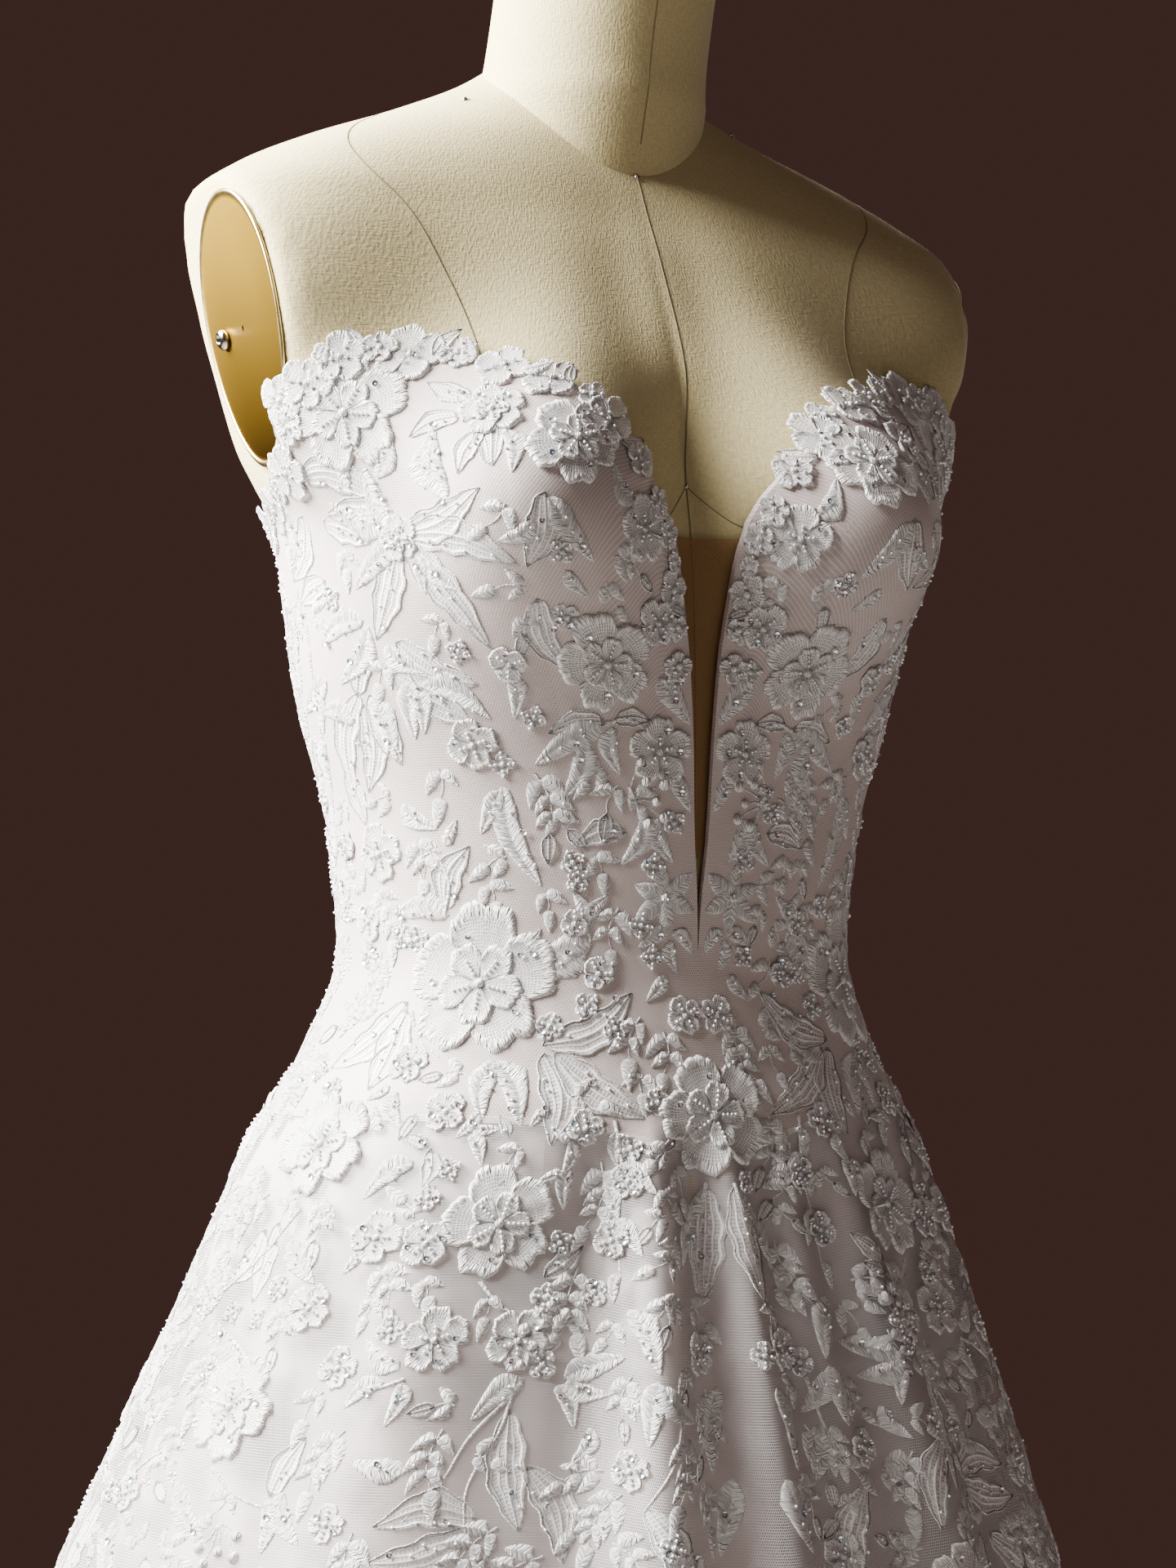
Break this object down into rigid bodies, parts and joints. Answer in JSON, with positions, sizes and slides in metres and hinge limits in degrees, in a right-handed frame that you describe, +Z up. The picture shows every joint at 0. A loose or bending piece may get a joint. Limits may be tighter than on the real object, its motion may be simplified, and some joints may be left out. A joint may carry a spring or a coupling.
{
  "type": "strapless wedding dress on a dress form",
  "caption": "Strapless A-line wedding dress with a deep plunge, lace flowers and a tulle skirt, standing on a limbless linen dress form with a pole and a round base.",
  "frame": {"origin": "on the floor, below the middle of the box round the whole part", "axes": "+Z up; -Y is the way the dress faces; +X is the wearer's left"},
  "size_m": [1.0314, 0.9666, 1.565],
  "materials": {
    "satin": "blush ivory satin with a soft sheen",
    "tulle": "fine ivory tulle with a matt hexagonal net",
    "net": "nude power net, matt",
    "lace": "ivory corded lace with beads and sequins",
    "linen": "cream linen, plain weave, stretched over the form",
    "gold": "satin gold",
    "chrome": "polished chrome",
    "steel": "dark satin paint"
  },
  "bodies": {
    "root": {"armplate_bolt_left": "chrome", "armplate_bolt_right": "chrome", "armplate_left": "gold", "armplate_right": "gold", "back_button_1": "satin", "back_button_2": "satin", "back_button_3": "satin", "back_button_4": "satin", "back_button_5": "satin", "back_button_6": "satin", "back_button_7": "satin", "back_placket": "satin", "bodice_back_left": "satin", "bodice_back_right": "satin", "bodice_centre_front_left": "satin", "bodice_centre_front_right": "satin", "bodice_side_back_left": "satin", "bodice_side_back_right": "satin", "bodice_side_front_left": "satin", "bodice_side_front_right": "satin", "form_neck": "linen", "form_torso": "linen", "lace_edge_left": "lace", "lace_edge_right": "lace", "lace_hip_front_left": "lace", "lace_hip_front_right": "lace", "lace_hip_side_left": "lace", "lace_hip_side_right": "lace", "lace_neckline_bust_left": "lace", "lace_neckline_bust_right": "lace", "lace_neckline_side_left": "lace", "lace_neckline_side_right": "lace", "lace_plunge_left": "lace", "lace_plunge_right": "lace", "lace_rib_back_left": "lace", "lace_rib_back_right": "lace", "lace_skirt_side_left": "lace", "lace_skirt_side_right": "lace", "lace_waist_back_left": "lace", "lace_waist_back_right": "lace", "lace_waist_centre": "lace", "lace_waist_side_left": "lace", "lace_waist_side_right": "lace", "plunge_inset": "net", "skirt_lining_back_left": "satin", "skirt_lining_back_right": "satin", "skirt_lining_front": "satin", "skirt_lining_side_left": "satin", "skirt_lining_side_right": "satin", "skirt_tulle_back_left": "tulle", "skirt_tulle_back_right": "tulle", "skirt_tulle_front": "tulle", "skirt_tulle_side_left": "tulle", "skirt_tulle_side_right": "tulle", "stand_base": "steel", "stand_pole": "steel"}
  },
  "joints": []
}
